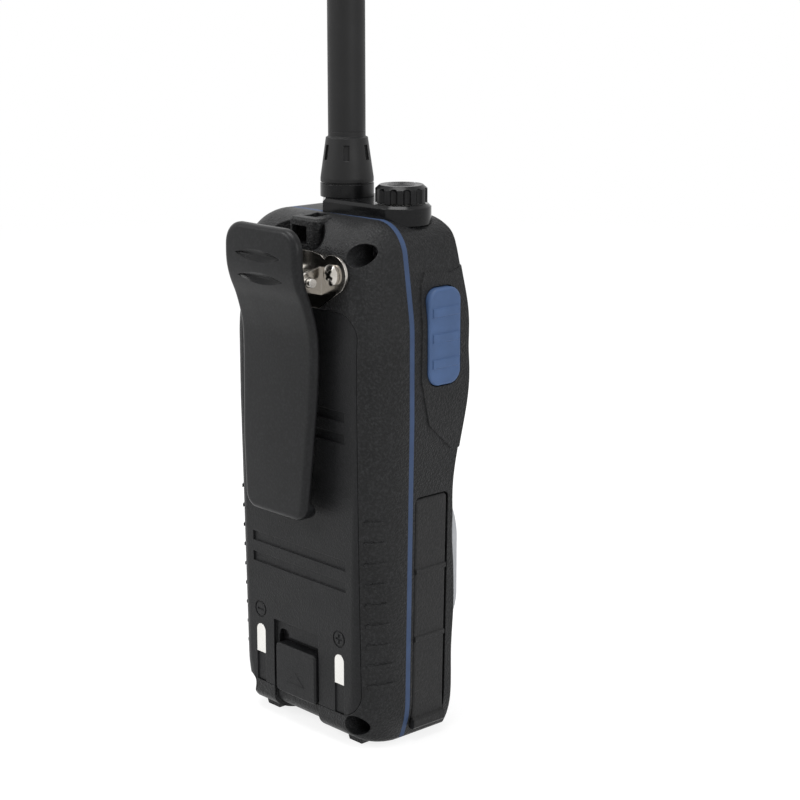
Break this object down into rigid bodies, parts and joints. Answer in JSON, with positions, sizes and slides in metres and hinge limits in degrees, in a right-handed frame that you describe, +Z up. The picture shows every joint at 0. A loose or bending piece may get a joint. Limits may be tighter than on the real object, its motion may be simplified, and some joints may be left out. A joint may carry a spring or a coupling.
{
  "type": "handheld marine radio",
  "caption": "Handheld marine radio with a whip antenna, volume knob, talk key, display, keypad, speaker, latched battery pack, jack cover and sprung belt clip.",
  "frame": {"origin": "middle of the four feet on the surface the radio stands on, on the case's middle plane", "axes": "+Z up along the antenna, -Y out of the front with the display, +Y out of the back with the belt clip, -X towards the talk key"},
  "size_m": [0.0552, 0.0467, 0.2885],
  "materials": {
    "case_plastic": "fine-grained matt",
    "satin_plastic": "satin",
    "gloss_plastic": "polished",
    "blue_rubber": "matt",
    "blue_plastic": "satin",
    "black_rubber": "matt",
    "nickel": "satin nickel plate",
    "contact_metal": "plated",
    "screw_steel": "blackened",
    "window": "clear, smoked",
    "silver_plastic": "silver paint",
    "circuit_board": "solder mask",
    "electronics": "mixed parts",
    "shield_metal": "tin plate",
    "cell_wrap": "shrink film",
    "spring_steel": "plain wire"
  },
  "bodies": {
    "housing": {"front_shell": "case_plastic", "rear_shell": "case_plastic", "case_seal": "blue_rubber", "case_screws": "screw_steel", "top_collar": "gloss_plastic", "antenna_connector": "contact_metal", "antenna_base": "black_rubber", "antenna_boot": "black_rubber", "antenna_whip": "black_rubber", "volume_control": "electronics", "battery_case": "satin_plastic", "battery_lid": "satin_plastic", "battery_seal": "black_rubber", "battery_cells": "cell_wrap", "battery_terminals": "contact_metal", "charge_contacts": "contact_metal", "terminal_springs": "contact_metal", "clip_bracket": "nickel", "bracket_screws": "nickel", "clip_pin": "nickel", "talk_switch": "electronics", "jack_large": "electronics", "jack_small": "electronics", "display_window": "window", "display_module": "electronics", "speaker_bezel": "silver_plastic", "speaker_grille": "case_plastic", "speaker": "electronics", "microphone": "electronics", "keypad_mat": "black_rubber", "front_board": "circuit_board", "main_board": "circuit_board", "board_spacers": "contact_metal", "board_screws": "screw_steel", "rf_shield": "shield_metal"},
    "talk_key": {"talk_key": "blue_plastic"},
    "knob": {"volume_knob": "satin_plastic", "volume_shaft": "shield_metal"},
    "clip": {"belt_clip": "satin_plastic", "clip_spring": "spring_steel"},
    "latch": {"battery_latch": "satin_plastic"},
    "cover": {"jack_cover": "black_rubber"},
    "key_1": {"key_1": "black_rubber"},
    "key_2": {"key_2": "black_rubber"},
    "key_3": {"key_3": "black_rubber"},
    "key_4": {"key_4": "black_rubber"},
    "key_5": {"key_5": "black_rubber"},
    "key_6": {"key_6": "black_rubber"},
    "key_7": {"key_7": "black_rubber"},
    "key_8": {"key_8": "black_rubber"}
  },
  "joints": [
    {"name": "talk_press", "type": "slide", "parent": "housing", "child": "talk_key", "axis": [1, 0, 0], "range_m": [0, 0.0012], "stiffness_N_per_m": 2500},
    {"name": "key_1_press", "type": "slide", "parent": "housing", "child": "key_1", "axis": [0, 1, 0], "range_m": [0, 0.0008], "stiffness_N_per_m": 1500},
    {"name": "key_2_press", "type": "slide", "parent": "housing", "child": "key_2", "axis": [0, 1, 0], "range_m": [0, 0.0008], "stiffness_N_per_m": 1500},
    {"name": "key_3_press", "type": "slide", "parent": "housing", "child": "key_3", "axis": [0, 1, 0], "range_m": [0, 0.0008], "stiffness_N_per_m": 1500},
    {"name": "key_4_press", "type": "slide", "parent": "housing", "child": "key_4", "axis": [0, 1, 0], "range_m": [0, 0.0008], "stiffness_N_per_m": 1500},
    {"name": "key_5_press", "type": "slide", "parent": "housing", "child": "key_5", "axis": [0, 1, 0], "range_m": [0, 0.0008], "stiffness_N_per_m": 1500},
    {"name": "key_6_press", "type": "slide", "parent": "housing", "child": "key_6", "axis": [0, 1, 0], "range_m": [0, 0.0008], "stiffness_N_per_m": 1500},
    {"name": "key_7_press", "type": "slide", "parent": "housing", "child": "key_7", "axis": [0, 1, 0], "range_m": [0, 0.0008], "stiffness_N_per_m": 1500},
    {"name": "key_8_press", "type": "slide", "parent": "housing", "child": "key_8", "axis": [0, 1, 0], "range_m": [0, 0.0008], "stiffness_N_per_m": 1500},
    {"name": "volume_turn", "type": "hinge", "parent": "housing", "child": "knob", "pos_m": [-0.0148, -0.003, 0.1325], "axis": [0, 0, -1], "range_deg": [0, 280]},
    {"name": "clip_swing", "type": "hinge", "parent": "housing", "child": "clip", "pos_m": [0, 0.0225, 0.1157], "axis": [1, 0, 0], "range_deg": [0, 24], "stiffness_Nm_per_rad": 0.35, "springref_deg": -17.19},
    {"name": "latch_slide", "type": "slide", "parent": "housing", "child": "latch", "axis": [0, 0, 1], "range_m": [0, 0.0014], "stiffness_N_per_m": 1800},
    {"name": "cover_swing", "type": "hinge", "parent": "housing", "child": "cover", "pos_m": [-0.02578, -0.0022, 0.0618], "axis": [0, 1, 0], "range_deg": [0, 100]}
  ]
}
